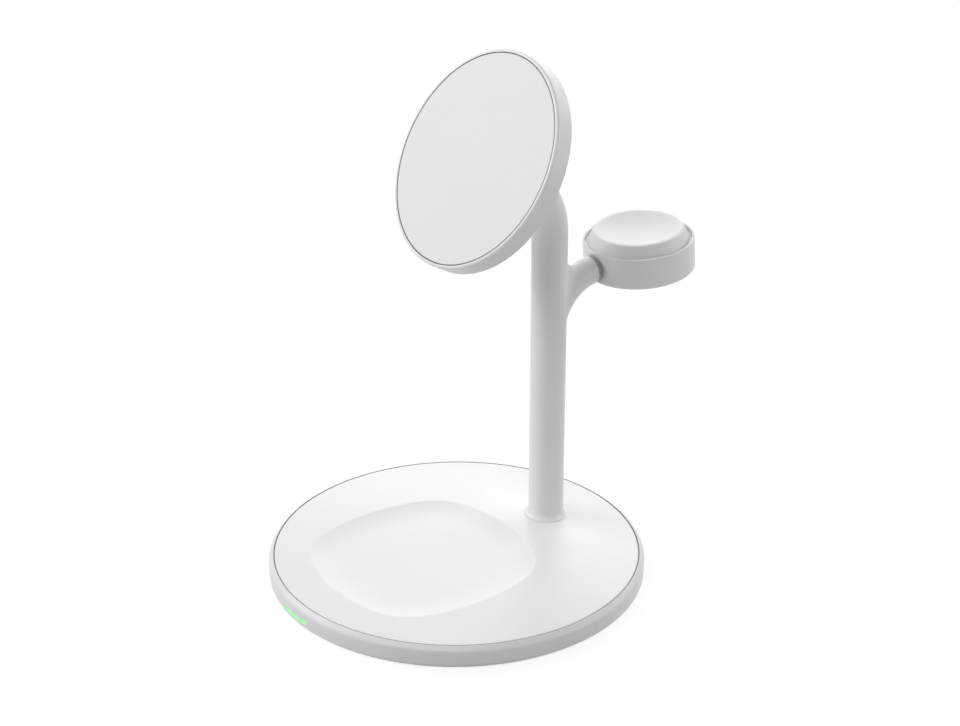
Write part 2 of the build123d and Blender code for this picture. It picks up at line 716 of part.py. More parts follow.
# Stand post, one hollow casting with a flared foot, a bent neck, a branching arm and a hinge tongue
with BuildPart() as stand_post:
    with BuildSketch(section_of(flare_plane)):
        with BuildLine():
            flare_run = flare_r - post_r - flare_step
            flare = EllipticalCenterArc((flare_r, 0), flare_run, flare_rise, 180, arc_size=90)
            flare_bottom = -(flare_rise + 2 * flare_edge)
            Polyline(flare @ 1, (flare_r, flare_bottom), (0, flare_bottom), (0, 0), flare @ 0)
        make_face()
    revolve(axis=axis_of(flare_plane))
    with Locations(dome_centre):
        Sphere(dome_r + flare_clearance, mode=Mode.SUBTRACT)
    with BuildSketch(Plane.XY.offset(nut_bottom_z)):
        with Locations((0, post_y)):
            Circle(tenon_r)
    extrude(amount=post_start_z - nut_bottom_z)
    with BuildLine(Plane.YZ):
        neck_bend = neck_line(post_start_z, neck_bend_angle)
        Line(neck_bend @ 1, neck_bend @ 1 + (neck_bend % 1) * neck_straight)
    with BuildSketch(Plane.XY.offset(post_start_z)):
        with Locations((0, post_y)):
            Circle(post_r)
    sweep()
    with BuildLine(Plane.YZ):
        arm_line()
    with BuildSketch(Plane.XY.offset(arm_root_z)):
        with Locations((0, arm_root_y)):
            Circle(arm_r)
    sweep()
    fillet(stand_post.edges().filter_by(GeomType.BSPLINE).sort_by(Axis.Z)[-1], arm_crotch_round)
    with BuildSketch(swivel_plane.offset(collar_start)):
        Circle(2 * arm_r)
    extrude(amount=2 * arm_trim, mode=Mode.SUBTRACT)
    flat_ends = stand_post.faces().filter_by(GeomType.PLANE)
    fillet(flat_ends.sort_by_distance(arm_end)[0].edges(), arm_end_round)
    flat_ends = stand_post.faces().filter_by(GeomType.PLANE)
    fillet(flat_ends.sort_by_distance(shoulder_point)[0].edges(), neck_end_round)
    with BuildLine(Plane.YZ):
        neck_line(nut_bottom_z, neck_bend_angle - neck_bore_stop_angle)
    with BuildSketch(Plane.XY.offset(nut_bottom_z)):
        with Locations((0, post_y)):
            Circle(post_bore_r)
    sweep(mode=Mode.SUBTRACT)
    with BuildLine(Plane.YZ):
        arm_line()
    with BuildSketch(Plane.XY.offset(arm_root_z)):
        with Locations((0, arm_root_y)):
            Circle(arm_bore_r)
    sweep(mode=Mode.SUBTRACT)
    with BuildSketch(swivel_plane.offset(pivot_start)):
        Circle(pivot_r + pivot_press_clearance)
    extrude(amount=pivot_seat, mode=Mode.SUBTRACT)
    with BuildSketch(hinge_plane):
        tongue_root = lug_r + hinge_shoulder_gap + tilt_tongue_sink
        Circle(tilt_tongue_r)
        Rectangle(tongue_root, 2 * tilt_tongue_r, align=(Align.MAX, Align.CENTER))
    extrude(amount=tilt_tongue_thick / 2, both=True)
    with BuildSketch(hinge_plane):
        Circle(tilt_pin_r + pin_clearance)
    extrude(amount=tilt_tongue_thick, both=True, mode=Mode.SUBTRACT)
write_piece(stand_post, "stand_post")

# Nut under the lid, on the post's threaded tenon
with BuildPart() as post_nut:
    with BuildSketch(Plane.XY.offset(nut_bottom_z)):
        with Locations((0, post_y)):
            RegularPolygon(nut_across_flats / 2, nut_sides, major_radius=False)
            Circle(tenon_r + thread_clearance, mode=Mode.SUBTRACT)
    extrude(amount=nut_thick)
write_piece(post_nut, "post_nut")

# Lead to the phone pad, up the post and round the neck beside its middle
with BuildPart() as pad_lead:
    pad_lead_x = post_bore_r - pad_lead_r - lead_clearance
    with BuildLine(Plane.YZ.offset(pad_lead_x)):
        neck_line(lead_bottom_z, neck_bend_angle - neck_bore_stop_angle - pad_lead_stop_angle)
    with BuildSketch(Plane.XY.offset(lead_bottom_z)):
        with Locations((pad_lead_x, post_y)):
            Circle(pad_lead_r)
    sweep()
write_piece(pad_lead, "pad_lead")

# Lead to the watch cup, up the post, round the arm and through the hollow pivot
with BuildPart() as watch_lead:
    with BuildLine(Plane.YZ):
        Line((arm_root_y, lead_bottom_z), (arm_root_y, arm_root_z))
        lead_bend = arm_line()
        Line(lead_bend @ 1, lead_bend @ 1 + (lead_bend % 1) * (arm_to_cup + pivot_end))
    with BuildSketch(Plane.XY.offset(lead_bottom_z)):
        with Locations((0, arm_root_y)):
            Circle(watch_lead_r)
    sweep()
write_piece(watch_lead, "watch_lead")

# Shell of the phone pad, a shallow round cup with a narrow rim
with BuildPart() as phone_pad_shell:
    with BuildSketch(section_of(pad_plane)) as pad_profile:
        with BuildLine():
            Polyline(
                (0, -pad_thick),
                (pad_r, -pad_thick),
                (pad_r, 0),
                (pad_rim_inner_r, 0),
                (pad_rim_inner_r, -pad_face_thick),
                (ring_wall_r, -pad_face_thick),
                (ring_wall_r, yoke_z),
                (pocket_r, yoke_z),
                (pocket_r, pad_floor_z),
                (0, pad_floor_z),
                close=True,
            )
        make_face()
        fillet(pad_profile.vertices().group_by(Axis.X)[-1].sort_by(Axis.Y)[0], pad_back_round)
        fillet(pad_profile.vertices().group_by(Axis.X)[-1].sort_by(Axis.Y)[-1], pad_front_round)
    revolve(axis=axis_of(pad_plane))
    with BuildSketch(pad_plane.offset(-pad_thick)):
        with PolarLocations(bracket_screw_ring_r, bracket_screw_count, start_angle=bracket_screw_start):
            Circle(bracket_screw_r + screw_clearance)
        with Locations((0, wire_hole_y)):
            Circle(wire_hole_r)
    extrude(amount=pad_floor, mode=Mode.SUBTRACT)
write_piece(phone_pad_shell, "phone_pad_shell")

# Face of the phone pad, a flat disc set in the rim
with BuildPart() as phone_pad_face:
    with BuildSketch(pad_plane.offset(-pad_face_thick)):
        Circle(face_r)
    extrude(amount=pad_face_thick)
    fillet(phone_pad_face.edges().sort_by(axis_of(pad_plane))[-1], face_edge_round)
write_piece(phone_pad_face, "phone_pad_face")

# Magnets in a ring behind the face, and the steel yoke ring behind them
with BuildPart() as ring_magnets:
    with BuildSketch(pad_plane.offset(magnet_z)):
        ring(magnet_outer_r, magnet_inner_r)
        with PolarLocations(magnet_inner_r, magnet_count):
            slit_length = 2 * (magnet_outer_r - magnet_inner_r + magnet_gap)
            Rectangle(slit_length, magnet_gap, mode=Mode.SUBTRACT)
    extrude(amount=magnet_thick)
write_piece(ring_magnets, "ring_magnets")

with BuildPart() as magnet_yoke:
    with BuildSketch(pad_plane.offset(yoke_z)):
        ring(magnet_outer_r, magnet_inner_r)
    extrude(amount=yoke_thick)
write_piece(magnet_yoke, "magnet_yoke")

# Coil and ferrite inside the magnet ring
with BuildPart() as phone_coil:
    with BuildSketch(pad_plane.offset(phone_coil_z)):
        ring(phone_coil_outer_r, phone_coil_inner_r)
    extrude(amount=phone_coil_thick)
write_piece(phone_coil, "phone_coil")

with BuildPart() as phone_ferrite:
    with BuildSketch(pad_plane.offset(phone_coil_z)):
        Circle(phone_ferrite_r)
    extrude(amount=-phone_ferrite_thick)
write_piece(phone_ferrite, "phone_ferrite")

# Small board on the floor of the pad
with BuildPart() as pad_board:
    with BuildSketch(pad_plane.offset(pad_floor_z)):
        with Locations((0, pad_board_y)):
            Rectangle(pad_board_width, pad_board_length)
    extrude(amount=pad_board_thick)
write_piece(pad_board, "pad_board")

# Tilt bracket, a round plate on the pad's back with two lugs that straddle the neck's tongue
with BuildPart() as tilt_bracket:
    with BuildSketch(pad_plane.offset(-pad_thick)):
        Circle(bracket_r)
    extrude(amount=-bracket_plate)
    fillet(tilt_bracket.edges().sort_by(axis_of(pad_plane))[0], bracket_round)
    with BuildSketch(hinge_plane.offset(lug_inner_x)):
        with BuildLine():
            lug_reach = hinge_to_plate + lug_overlap
            Polyline(
                (0, lug_r),
                (lug_reach, lug_root_half),
                (lug_reach, -lug_root_half),
                (0, -lug_r),
                close=True,
            )
        make_face()
        Circle(lug_r)
        Circle(tilt_pin_r + pin_press_clearance, mode=Mode.SUBTRACT)
    extrude(amount=lug_thick)
    mirror(about=Plane.YZ)
    with BuildSketch(pad_plane.offset(-pad_thick)):
        with PolarLocations(bracket_screw_ring_r, bracket_screw_count, start_angle=bracket_screw_start):
            Circle(bracket_screw_r + thread_clearance)
    extrude(amount=-bracket_screw_grip, mode=Mode.SUBTRACT)
    with BuildSketch(pad_plane.offset(-pad_thick)):
        with Locations((0, wire_hole_y)):
            Circle(wire_hole_r)
    extrude(amount=-bracket_plate, mode=Mode.SUBTRACT)
write_piece(tilt_bracket, "tilt_bracket")

# Screws that hold the bracket from inside the pad
with BuildPart() as bracket_screws:
    with BuildSketch(pad_plane.offset(pad_floor_z)):
        with PolarLocations(bracket_screw_ring_r, bracket_screw_count, start_angle=bracket_screw_start):
            Circle(bracket_screw_head_r)
    extrude(amount=bracket_screw_head)
    with BuildSketch(pad_plane.offset(pad_floor_z)):
        with PolarLocations(bracket_screw_ring_r, bracket_screw_count, start_angle=bracket_screw_start):
            Circle(bracket_screw_r)
    extrude(amount=-(pad_floor + bracket_screw_grip - screw_clearance))
write_piece(bracket_screws, "bracket_screws")

# Hinge pin through the lugs and the tongue, and the spring washers beside the tongue
with BuildPart() as tilt_pin:
    with BuildSketch(hinge_plane):
        Circle(tilt_pin_r)
    extrude(amount=lug_inner_x + lug_thick, both=True)
write_piece(tilt_pin, "tilt_pin")

with BuildPart() as friction_washers:
    washer_x = tilt_tongue_thick / 2 + (hinge_side_gap - washer_thick) / 2
    with BuildSketch(hinge_plane.offset(washer_x)):
        ring(washer_r, tilt_pin_r + pin_clearance)
    extrude(amount=washer_thick)
    mirror(about=Plane.YZ)
write_piece(friction_washers, "friction_washers")

# Watch cup, with a thin lip, a ledge for the cap and a boss for the pivot in its wall
with BuildPart() as watch_cup:
    with BuildSketch(section_of(watch_plane)) as cup_profile:
        with BuildLine():
            Polyline((0, -cup_height), (cup_r, -cup_height), (cup_r, 0), (0, 0), close=True)
        make_face()
        fillet(cup_profile.vertices().group_by(Axis.X)[-1].sort_by(Axis.Y)[0], cup_bottom_round)
        fillet(cup_profile.vertices().group_by(Axis.X)[-1].sort_by(Axis.Y)[-1], cup_lip_round)
    revolve(axis=axis_of(watch_plane))
    with BuildSketch(watch_plane):
        Circle(cup_mouth_r)
    extrude(amount=-cap_depth, mode=Mode.SUBTRACT)
    with BuildSketch(watch_plane):
        Circle(cup_inner_r)
    extrude(amount=cup_floor_z, mode=Mode.SUBTRACT)
    with BuildSketch(swivel_plane.offset(boss_outer_end)):
        Circle(cup_boss_r)
    extrude(amount=cup_boss_depth)
    with BuildSketch(swivel_plane.offset(boss_outer_end)):
        Circle(pivot_r + pivot_clearance)
    extrude(amount=cup_boss_depth, mode=Mode.SUBTRACT)
write_piece(watch_cup, "watch_cup")

# Watch cap, a hollow cone with a dished top and a flange that sits on the cup's ledge
with BuildPart() as watch_cap:
    with BuildSketch(section_of(watch_plane)) as cap_profile:
        with BuildLine():
            dish_half_rise = dish_curve_r - sqrt(dish_curve_r**2 - (dish_r / 2) ** 2)
            dish_middle = (dish_r / 2, dish_bottom_z + dish_half_rise)
            dish = ThreePointArc((0, dish_bottom_z), dish_middle, (dish_r, cap_rise))
            Polyline(
                dish @ 1,
                (cap_cone_top_r, cap_rise),
                (cap_cone_base_r, cap_flange - cap_depth),
                (cup_mouth_r - cap_clearance, cap_flange - cap_depth),
                (cup_mouth_r - cap_clearance, -cap_depth),
                (cap_cavity_r, -cap_depth),
                (cap_cavity_r, cap_roof_z),
                (0, cap_roof_z),
                dish @ 0,
            )
        make_face()
        fillet(cap_profile.vertices().group_by(Axis.Y)[-1].sort_by(Axis.X)[-1], cap_crest_round)
        fillet(cap_profile.vertices().group_by(Axis.Y)[-1].sort_by(Axis.X)[0], dish_edge_round)
    revolve(axis=axis_of(watch_plane))
write_piece(watch_cap, "watch_cap")

# Coil, ferrite and centring magnet under the dish
with BuildPart() as watch_coil:
    with BuildSketch(watch_plane.offset(watch_coil_z)):
        ring(watch_coil_outer_r, watch_coil_inner_r)
    extrude(amount=watch_coil_thick)
write_piece(watch_coil, "watch_coil")

with BuildPart() as watch_ferrite:
    with BuildSketch(watch_plane.offset(watch_ferrite_z)):
        ring(watch_ferrite_r, watch_magnet_r + watch_magnet_clearance)
    extrude(amount=watch_ferrite_thick)
write_piece(watch_ferrite, "watch_ferrite")

with BuildPart() as watch_magnet:
    with BuildSketch(watch_plane.offset(watch_ferrite_z)):
        Circle(watch_magnet_r)
    extrude(amount=cap_roof_z - watch_ferrite_z)
write_piece(watch_magnet, "watch_magnet")

# Small board on the floor of the cup
with BuildPart() as watch_board:
    with BuildSketch(watch_plane.offset(cup_floor_z)):
        with Locations((0, watch_board_y)):
            Rectangle(watch_board_width, watch_board_length)
    extrude(amount=watch_board_thick)
write_piece(watch_board, "watch_board")

# Hollow pivot pressed into the arm, running in the cup's boss, with its collar, washer and clip
with BuildPart() as swivel_pivot:
    with BuildSketch(swivel_plane.offset(pivot_start)):
        ring(pivot_r, pivot_bore_r)
    extrude(amount=pivot_end - pivot_start)
write_piece(swivel_pivot, "swivel_pivot")

with BuildPart() as swivel_collar:
    with BuildSketch(swivel_plane.offset(collar_start)):
        ring(swivel_collar_r, pivot_r + pivot_press_clearance)
    extrude(amount=swivel_collar_thick)
write_piece(swivel_collar, "swivel_collar")

with BuildPart() as swivel_washer:
    with BuildSketch(swivel_plane.offset(boss_inner_end + swivel_play)):
        ring(swivel_washer_r, pivot_r + pivot_clearance)
    extrude(amount=swivel_washer_thick)
write_piece(swivel_washer, "swivel_washer")

with BuildPart() as swivel_clip:
    with BuildSketch(swivel_plane.offset(washer_end + swivel_play)):
        ring(swivel_clip_r, pivot_r + pivot_press_clearance)
    extrude(amount=swivel_clip_thick)
write_piece(swivel_clip, "swivel_clip")
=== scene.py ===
import json
from math import cos, pi, radians, sin

import bmesh
import bpy
from mathutils import Matrix, Vector


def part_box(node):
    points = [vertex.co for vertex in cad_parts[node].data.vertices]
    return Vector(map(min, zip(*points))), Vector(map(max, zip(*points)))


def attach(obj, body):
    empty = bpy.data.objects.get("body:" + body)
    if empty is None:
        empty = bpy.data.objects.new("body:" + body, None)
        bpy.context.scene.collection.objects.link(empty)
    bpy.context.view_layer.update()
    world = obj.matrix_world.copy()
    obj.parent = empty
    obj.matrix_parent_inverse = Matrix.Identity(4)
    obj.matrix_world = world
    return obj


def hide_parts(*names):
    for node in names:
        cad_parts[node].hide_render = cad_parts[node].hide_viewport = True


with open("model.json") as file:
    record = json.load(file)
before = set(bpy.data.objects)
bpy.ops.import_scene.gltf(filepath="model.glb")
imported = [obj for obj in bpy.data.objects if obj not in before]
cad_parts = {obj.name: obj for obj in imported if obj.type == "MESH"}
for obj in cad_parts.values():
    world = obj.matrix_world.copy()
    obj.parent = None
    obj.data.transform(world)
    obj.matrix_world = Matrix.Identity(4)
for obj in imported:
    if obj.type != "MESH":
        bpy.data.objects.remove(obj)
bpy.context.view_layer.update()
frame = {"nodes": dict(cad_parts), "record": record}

# Foot pad
# A disc of pale grey silicone, moulded with a broad outer ring, a groove and a sunken middle,
# and glued into the recess under the base. It keeps the stand from sliding.
mm = 0.001
foot_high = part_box("foot_pad")[1]
foot_r = foot_high.x
foot_top = foot_high.z
foot_corner = 0.3 * mm
foot_ring_width = 7.0 * mm
foot_groove_width = 1.4 * mm
foot_groove_depth = 0.3 * mm
foot_middle_rise = 0.12 * mm
foot_groove_r = foot_r - foot_ring_width
foot_middle_r = foot_groove_r - foot_groove_width
foot_steps = 192
weld_distance = 0.002 * mm
crease_angle = radians(35)


def finished_piece(name, shape, finish, body):
    """Turn a modelled shape into a piece that rides on a body, with its finish."""
    bmesh.ops.remove_doubles(shape, verts=shape.verts, dist=weld_distance)
    bmesh.ops.recalc_face_normals(shape, faces=shape.faces)
    mesh = bpy.data.meshes.new(name)
    shape.to_mesh(mesh)
    shape.free()
    for face in mesh.polygons:
        face.use_smooth = True
    mesh.set_sharp_from_angle(angle=crease_angle)
    mesh.materials.append(finish)
    piece = bpy.data.objects.new(name, mesh)
    bpy.context.scene.collection.objects.link(piece)
    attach(piece, body)
    return piece


def turned(outline, steps):
    """A shape turned round the z axis from its outline, points of radius and height."""
    shape = bmesh.new()
    points = [shape.verts.new((radius, 0, height)) for radius, height in outline]
    edges = [shape.edges.new(pair) for pair in zip(points, points[1:])]
    bmesh.ops.spin(shape, geom=points + edges, cent=(0, 0, 0), axis=(0, 0, 1), angle=2 * pi, steps=steps,
                   use_merge=True)
    return shape


def patches(finish, scale, detail, stretch=(1, 1, 1)):
    """Soft random patches over a piece, as a pattern from 0 to 1."""
    tree = finish.node_tree
    place = tree.nodes.new("ShaderNodeTexCoord")
    spread = tree.nodes.new("ShaderNodeMapping")
    spread.inputs["Scale"].default_value = stretch
    cloud = tree.nodes.new("ShaderNodeTexNoise")
    cloud.inputs["Scale"].default_value = scale
    cloud.inputs["Detail"].default_value = detail
    tree.links.new(place.outputs["Object"], spread.inputs["Vector"])
    tree.links.new(spread.outputs["Vector"], cloud.inputs["Vector"])
    return cloud.outputs["Fac"]


def tint(finish, pattern, deep, pale, start=0.35, stop=0.65):
    """Colour a finish between two shades by a pattern."""
    tree = finish.node_tree
    ramp = tree.nodes.new("ShaderNodeValToRGB")
    ramp.color_ramp.elements[0].position = start
    ramp.color_ramp.elements[0].color = (*deep, 1)
    ramp.color_ramp.elements[1].position = stop
    ramp.color_ramp.elements[1].color = (*pale, 1)
    tree.links.new(pattern, ramp.inputs["Fac"])
    tree.links.new(ramp.outputs["Color"], tree.nodes["Principled BSDF"].inputs["Base Color"])


def gloss(finish, pattern, smoothest, roughest):
    """Let the roughness of a finish wander between two values."""
    tree = finish.node_tree
    spread = tree.nodes.new("ShaderNodeMapRange")
    spread.inputs["To Min"].default_value = smoothest
    spread.inputs["To Max"].default_value = roughest
    tree.links.new(pattern, spread.inputs["Value"])
    tree.links.new(spread.outputs["Result"], tree.nodes["Principled BSDF"].inputs["Roughness"])


def relief(finish, pattern, height):
    """Raise a finish by a pattern, as high as the height given."""
    tree = finish.node_tree
    bump = tree.nodes.new("ShaderNodeBump")
    bump.inputs["Distance"].default_value = height
    tree.links.new(pattern, bump.inputs["Height"])
    tree.links.new(bump.outputs["Normal"], tree.nodes["Principled BSDF"].inputs["Normal"])


def new_finish(name, metal=0.0):
    """A new finish with a plain shader, to be given its patterns."""
    finish = bpy.data.materials.new(name)
    finish.use_nodes = True
    finish.node_tree.nodes["Principled BSDF"].inputs["Metallic"].default_value = metal
    return finish


silicone = new_finish("silicone")
tint(silicone, patches(silicone, 120, 3), (0.56, 0.56, 0.57), (0.62, 0.62, 0.63))
gloss(silicone, patches(silicone, 300, 2), 0.68, 0.8)
relief(silicone, patches(silicone, 2500, 1), 0.012 * mm)

foot_shape = turned([
    (0, foot_top),
    (foot_r, foot_top),
    (foot_r, foot_corner),
    (foot_r - foot_corner, 0),
    (foot_groove_r, 0),
    (foot_groove_r, foot_groove_depth),
    (foot_middle_r, foot_groove_depth),
    (foot_middle_r, foot_middle_rise),
    (0, foot_middle_rise),
], foot_steps)
foot = finished_piece("foot_pad_moulded", foot_shape, silicone, "base")
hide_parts("foot_pad")


# Base housing
# The round tub that carries everything, injection moulded in white plastic with a satin spark
# finish. Its chamfered shoulder stands round the lid with a fine gap.
def moulded_plastic(name, deep, pale, smoothest, roughest, grain_size, grain_height):
    """White moulded plastic: faint clouds in the colour and the gloss, and the grain of the mould."""
    finish = new_finish(name)
    clouds = patches(finish, 45, 3)
    tint(finish, clouds, deep, pale)
    gloss(finish, clouds, smoothest, roughest)
    relief(finish, patches(finish, 1 / grain_size, 1), grain_height)
    return finish


def dress(finish, *names):
    """Give a finish to CAD nodes that show as they are."""
    for name in names:
        frame["nodes"][name].data.materials.clear()
        frame["nodes"][name].data.materials.append(finish)


shell_white = moulded_plastic("shell_white", (0.788, 0.784, 0.803), (0.808, 0.804, 0.823), 0.39, 0.45,
                              0.3 * mm, 0.003 * mm)
dress(shell_white, "base_housing")


# Ballast plate
# A steel plate stamped to fit round the coil and the bosses, zinc plated and dropped on the
# floor of the tub. It keeps the tall stand from tipping.
def plated_steel(name, deep, pale, smoothest, roughest):
    """Plated steel, with long faint brush marks across it."""
    finish = new_finish(name, metal=1.0)
    marks = patches(finish, 900, 4, stretch=(1, 0.04, 1))
    tint(finish, marks, deep, pale)
    gloss(finish, marks, smoothest, roughest)
    relief(finish, marks, 0.002 * mm)
    return finish


zinc_steel = plated_steel("zinc_steel", (0.55, 0.55, 0.56), (0.66, 0.66, 0.68), 0.3, 0.45)
dress(zinc_steel, "ballast_plate")

# Light board and its chips
# A strip of green circuit board on edge behind the front wall, with three green chips
# soldered to it. It stands on the floor of the tub.
track_spacing = 4 * mm
track_width = 0.06
track_rise = 0.03 * mm


def board_green(name, lean):
    """Green solder mask over copper tracks, drawn on a board that leans back by an angle."""
    finish = new_finish(name)
    tree = finish.node_tree
    place = tree.nodes.new("ShaderNodeTexCoord")
    turn = tree.nodes.new("ShaderNodeMapping")
    turn.inputs["Rotation"].default_value = (lean, 0, 0)
    tracks = tree.nodes.new("ShaderNodeTexBrick")
    tracks.inputs["Color1"].default_value = (0.02, 0.115, 0.05, 1)
    tracks.inputs["Color2"].default_value = (0.025, 0.135, 0.06, 1)
    tracks.inputs["Mortar"].default_value = (0.06, 0.25, 0.1, 1)
    tracks.inputs["Scale"].default_value = 1 / track_spacing
    tracks.inputs["Mortar Size"].default_value = track_width
    tree.links.new(place.outputs["Object"], turn.inputs["Vector"])
    tree.links.new(turn.outputs["Vector"], tracks.inputs["Vector"])
    tree.links.new(tracks.outputs["Color"], tree.nodes["Principled BSDF"].inputs["Base Color"])
    gloss(finish, patches(finish, 500, 2), 0.3, 0.42)
    relief(finish, tracks.outputs["Fac"], track_rise)
    return finish


upright_board = board_green("upright_board", pi / 2)
dress(upright_board, "led_board")

chip_glow = new_finish("chip_glow")
tint(chip_glow, patches(chip_glow, 2000, 2), (0.2, 0.7, 0.25), (0.3, 0.85, 0.35))
gloss(chip_glow, patches(chip_glow, 900, 1), 0.2, 0.3)
chip_glow.node_tree.nodes["Principled BSDF"].inputs["Emission Color"].default_value = (0.25, 0.9, 0.3, 1)
chip_glow.node_tree.nodes["Principled BSDF"].inputs["Emission Strength"].default_value = 1.0
dress(chip_glow, "led_chips")

# Light pipe
# A slim bar of milky plastic pushed through the front wall, flush with its curve. The chips
# behind it make it glow green, a little stronger in front of each chip.
pipe_low, pipe_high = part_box("led_light_pipe")
pipe_middle = (pipe_low + pipe_high) / 2
chip_spacing = 3.6 * mm
pipe_glow = new_finish("pipe_glow")
pipe_tree = pipe_glow.node_tree
pipe_shader = pipe_tree.nodes["Principled BSDF"]
pipe_place = pipe_tree.nodes.new("ShaderNodeTexCoord")
pipe_shift = pipe_tree.nodes.new("ShaderNodeMapping")
pipe_shift.inputs["Location"].default_value = (-pipe_middle.x, 0, 0)
chip_waves = pipe_tree.nodes.new("ShaderNodeTexWave")
chip_waves.inputs["Scale"].default_value = 2 * pi / (20 * chip_spacing)
chip_waves.inputs["Phase Offset"].default_value = pi / 2
glow_colour = pipe_tree.nodes.new("ShaderNodeValToRGB")
glow_colour.color_ramp.elements[0].color = (0.12, 0.62, 0.16, 1)
glow_colour.color_ramp.elements[1].color = (0.3, 0.8, 0.33, 1)
pipe_tree.links.new(pipe_place.outputs["Object"], pipe_shift.inputs["Vector"])
pipe_tree.links.new(pipe_shift.outputs["Vector"], chip_waves.inputs["Vector"])
pipe_tree.links.new(chip_waves.outputs["Fac"], glow_colour.inputs["Fac"])
pipe_tree.links.new(glow_colour.outputs["Color"], pipe_shader.inputs["Emission Color"])
pipe_shader.inputs["Emission Strength"].default_value = 0.75
tint(pipe_glow, patches(pipe_glow, 400, 2), (0.2, 0.5, 0.22), (0.25, 0.55, 0.27))
gloss(pipe_glow, patches(pipe_glow, 300, 2), 0.3, 0.4)
dress(pipe_glow, "led_light_pipe")

# Coil and ferrite under the recess
# A flat coil of enamelled copper wire wound in one layer, glued on a round sheet of dark
# ferrite. It lies under the floor of the recess and charges the earbud case.
earbud_coil_hole_r = 8.0 * mm
wire_sides = 12
coil_steps = 96
upwards = Vector((0, 0, 1))

copper_wire = new_finish("copper_wire", metal=1.0)
tint(copper_wire, patches(copper_wire, 260, 3), (0.62, 0.28, 0.12), (0.75, 0.38, 0.18))
gloss(copper_wire, patches(copper_wire, 700, 2), 0.22, 0.36)
copper_wire.node_tree.nodes["Principled BSDF"].inputs["Coat Weight"].default_value = 0.5


def wound_coil(name, node, inner_r, upright, body):
    """A one-layer winding of round wire that fills a CAD ring, square to a direction."""
    low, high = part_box(node)
    middle = (low + high) / 2
    outer_r = (high.x - low.x) / 2
    tilt = upright.to_track_quat("Z", "Y").to_matrix().to_4x4()
    leaning = outer_r * 2 * (1 - upright.z ** 2) ** 0.5
    wire_r = ((high.z - low.z) - leaning) / upright.z / 2
    turns = int((outer_r - inner_r) / (2 * wire_r))
    pitch = (outer_r - inner_r - 2 * wire_r) / (turns - 1)
    shape = bmesh.new()
    sections = []
    for turn in range(turns):
        across = Matrix.Translation((inner_r + wire_r + turn * pitch, 0, 0)) @ Matrix.Rotation(pi / 2, 4, "X")
        sections += bmesh.ops.create_circle(shape, radius=wire_r, segments=wire_sides, matrix=across)["verts"]
    edges = list({edge for point in sections for edge in point.link_edges})
    bmesh.ops.spin(shape, geom=sections + edges, cent=(0, 0, 0), axis=(0, 0, 1), angle=2 * pi,
                   steps=coil_steps, use_merge=True)
    bmesh.ops.transform(shape, matrix=Matrix.Translation(middle) @ tilt, verts=shape.verts)
    winding = finished_piece(name, shape, copper_wire, body)
    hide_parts(node)


wound_coil("earbud_winding", "earbud_coil", earbud_coil_hole_r, upwards, "base")

ferrite_black = new_finish("ferrite_black")
tint(ferrite_black, patches(ferrite_black, 1800, 4), (0.03, 0.03, 0.033), (0.075, 0.075, 0.08))
gloss(ferrite_black, patches(ferrite_black, 900, 2), 0.5, 0.65)
relief(ferrite_black, patches(ferrite_black, 2600, 2), 0.01 * mm)
dress(ferrite_black, "earbud_ferrite")

# Main board, its components and its screws
# A green circuit board screwed to two bosses behind the post. It carries a black moulded
# chip, a choke and two capacitors.
flat_board = board_green("flat_board", 0.0)
dress(flat_board, "main_board")

moulded_black = new_finish("moulded_black")
tint(moulded_black, patches(moulded_black, 1500, 3), (0.025, 0.025, 0.028), (0.045, 0.045, 0.05))
gloss(moulded_black, patches(moulded_black, 800, 2), 0.5, 0.62)
relief(moulded_black, patches(moulded_black, 3000, 1), 0.008 * mm)
dress(moulded_black, "board_components")
dress(zinc_steel, "board_screws")

# Power inlet
# A drawn and nickel plated shell, let into the back of the rim, round a black moulded tongue.
# Two rows of gold plated contacts lie on the tongue.
inlet_nickel = plated_steel("inlet_nickel", (0.6, 0.59, 0.57), (0.72, 0.71, 0.69), 0.2, 0.32)
dress(inlet_nickel, "power_inlet_shell")
dress(moulded_black, "power_inlet_tongue")

tongue_low, tongue_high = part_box("power_inlet_tongue")
tongue_z = (tongue_low.z + tongue_high.z) / 2
tongue_thick = 0.7 * mm
contact_count = 12
contact_pitch = 0.5 * mm
contact_width = 0.27 * mm
contact_length = 3.7 * mm
contact_rise = 0.03 * mm
contact_end_gap = 0.35 * mm
contact_corner = 0.012 * mm
contact_y = tongue_high.y - contact_end_gap - contact_length / 2
contact_gold = new_finish("contact_gold", metal=1.0)
tint(contact_gold, patches(contact_gold, 1400, 2), (0.78, 0.54, 0.2), (0.88, 0.66, 0.3))
gloss(contact_gold, patches(contact_gold, 900, 1), 0.18, 0.28)
contact_shape = bmesh.new()
for side in (-1, 1):
    for contact in range(contact_count):
        contact_x = (contact - (contact_count - 1) / 2) * contact_pitch
        spot = Matrix.Translation((contact_x, contact_y, tongue_z + side * tongue_thick / 2))
        strip = Matrix.Diagonal((contact_width, contact_length, 2 * contact_rise, 1))
        corners = bmesh.ops.create_cube(contact_shape, size=1, matrix=spot @ strip)["verts"]
        rims = list({edge for point in corners for edge in point.link_edges})
        bmesh.ops.bevel(contact_shape, geom=rims, offset=contact_corner, affect="EDGES", segments=2,
                        profile=0.5, material=-1)
finished_piece("inlet_contacts", contact_shape, contact_gold, "base")

# Lid
# The domed cover of the base with the dish for the earbud case, moulded in white and finer in
# its gloss than the tub. It is held from below, so no fixing shows.
lid_white = moulded_plastic("lid_white", (0.812, 0.808, 0.827), (0.828, 0.824, 0.843), 0.36, 0.4,
                            0.25 * mm, 0.001 * mm)
dress(lid_white, "top_cover")
dress(zinc_steel, "cover_screws")

